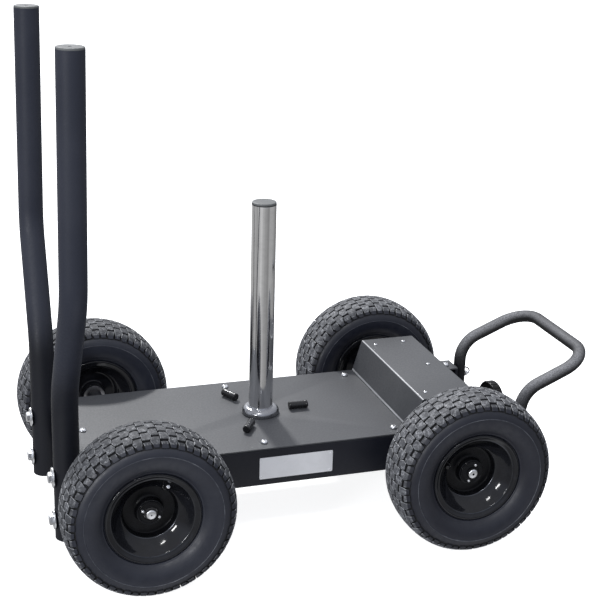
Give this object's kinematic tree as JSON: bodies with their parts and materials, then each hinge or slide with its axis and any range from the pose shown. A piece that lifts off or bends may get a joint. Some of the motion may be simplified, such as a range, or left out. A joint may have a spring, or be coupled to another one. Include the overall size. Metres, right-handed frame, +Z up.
{
  "type": "weight sled",
  "caption": "Push and pull training sled on pneumatic wheels, with a deck and post for weight plates, tall push poles, a tow handle and a front axle brake set by a hand knob.",
  "frame": {"origin": "on the floor below the middle of the overall bounding box", "axes": "+X towards the tow handle, +Y towards the side without the name plate, +Z up"},
  "size_m": [1.165, 0.696, 1.0195],
  "materials": {
    "deck_paint": "satin powder coat, mid grey",
    "frame_paint": "satin powder coat, near black",
    "pole_paint": "satin powder coat, charcoal",
    "handle_paint": "textured powder coat, grey",
    "rim_paint": "gloss black enamel",
    "tyre_rubber": "matt rubber",
    "rest_rubber": "matt rubber",
    "chrome": "polished",
    "zinc": "bright zinc plate",
    "turned_steel": "turned",
    "cast_iron": "painted dark",
    "brushed_plate": "brushed",
    "cap_grey": "satin",
    "knob_black": "satin"
  },
  "bodies": {
    "chassis": {"axle_rear": "turned_steel", "deck_plate": "deck_paint", "deck_screw_1": "zinc", "deck_screw_2": "zinc", "deck_screw_3": "zinc", "deck_screw_4": "zinc", "deck_screw_5": "zinc", "deck_screw_6": "zinc", "deck_screw_7": "zinc", "end_plate_front": "frame_paint", "end_plate_rear": "frame_paint", "front_bearing_far": "cast_iron", "front_bearing_near": "cast_iron", "front_cover": "deck_paint", "handle_socket_far": "frame_paint", "handle_socket_near": "frame_paint", "hub_bolt_rear_far": "zinc", "hub_bolt_rear_near": "zinc", "name_plate": "brushed_plate", "plate_rest_1": "rest_rubber", "plate_rest_2": "rest_rubber", "plate_rest_3": "rest_rubber", "pole_bolt_far_lower": "zinc", "pole_bolt_far_upper": "zinc", "pole_bolt_near_lower": "zinc", "pole_bolt_near_upper": "zinc", "pole_cap_far": "cap_grey", "pole_cap_near": "cap_grey", "post_cap": "cap_grey", "post_collar": "chrome", "post_crossmember": "frame_paint", "push_pole_far": "pole_paint", "push_pole_near": "pole_paint", "side_rail_far": "frame_paint", "side_rail_near": "frame_paint", "tow_handle": "handle_paint", "weight_post": "chrome"},
    "rear_wheel_near": {"hub_plate_rear_near": "cast_iron", "rim_rear_near": "rim_paint", "tyre_rear_near": "tyre_rubber", "wheel_bearing_rear_near": "turned_steel"},
    "rear_wheel_far": {"hub_plate_rear_far": "cast_iron", "rim_rear_far": "rim_paint", "tyre_rear_far": "tyre_rubber", "wheel_bearing_rear_far": "turned_steel"},
    "front_axle": {"axle_front": "turned_steel", "brake_drum": "cast_iron", "drive_hub_front_far": "cast_iron", "drive_hub_front_near": "cast_iron", "hub_bolt_front_far": "zinc", "hub_bolt_front_near": "zinc", "rim_front_far": "rim_paint", "rim_front_near": "rim_paint", "tyre_front_far": "tyre_rubber", "tyre_front_near": "tyre_rubber"},
    "brake_shoe": {"brake_shoe": "cast_iron"},
    "brake_knob": {"brake_knob": "knob_black"},
    "pull_pin_near": {"pull_pin_near": "zinc"},
    "pull_pin_far": {"pull_pin_far": "zinc"}
  },
  "joints": [
    {"name": "rear_wheel_near_spin", "type": "hinge", "parent": "chassis", "child": "rear_wheel_near", "pos_m": [-0.41746, -0.288, 0.165], "axis": [0, 1, 0], "continuous": true},
    {"name": "rear_wheel_far_spin", "type": "hinge", "parent": "chassis", "child": "rear_wheel_far", "pos_m": [-0.41746, 0.288, 0.165], "axis": [0, 1, 0], "continuous": true},
    {"name": "front_axle_spin", "type": "hinge", "parent": "chassis", "child": "front_axle", "pos_m": [0.23194, 0, 0.165], "axis": [0, 1, 0], "continuous": true},
    {"name": "brake_shoe_slide", "type": "slide", "parent": "chassis", "child": "brake_shoe", "axis": [-1, 0, 0], "range_m": [0, 0.006]},
    {"name": "brake_knob_turn", "type": "hinge", "parent": "brake_shoe", "child": "brake_knob", "pos_m": [0.41124, 0, 0.168], "axis": [-1, 0, 0], "range_deg": [0, 720]},
    {"name": "pull_pin_near_slide", "type": "slide", "parent": "chassis", "child": "pull_pin_near", "axis": [1, 0, 0], "range_m": [0, 0.05]},
    {"name": "pull_pin_far_slide", "type": "slide", "parent": "chassis", "child": "pull_pin_far", "axis": [1, 0, 0], "range_m": [0, 0.05]}
  ],
  "couplings": [
    {"joint": "brake_shoe_slide", "follows": "brake_knob_turn", "m_per_rad": 0.000477}
  ]
}
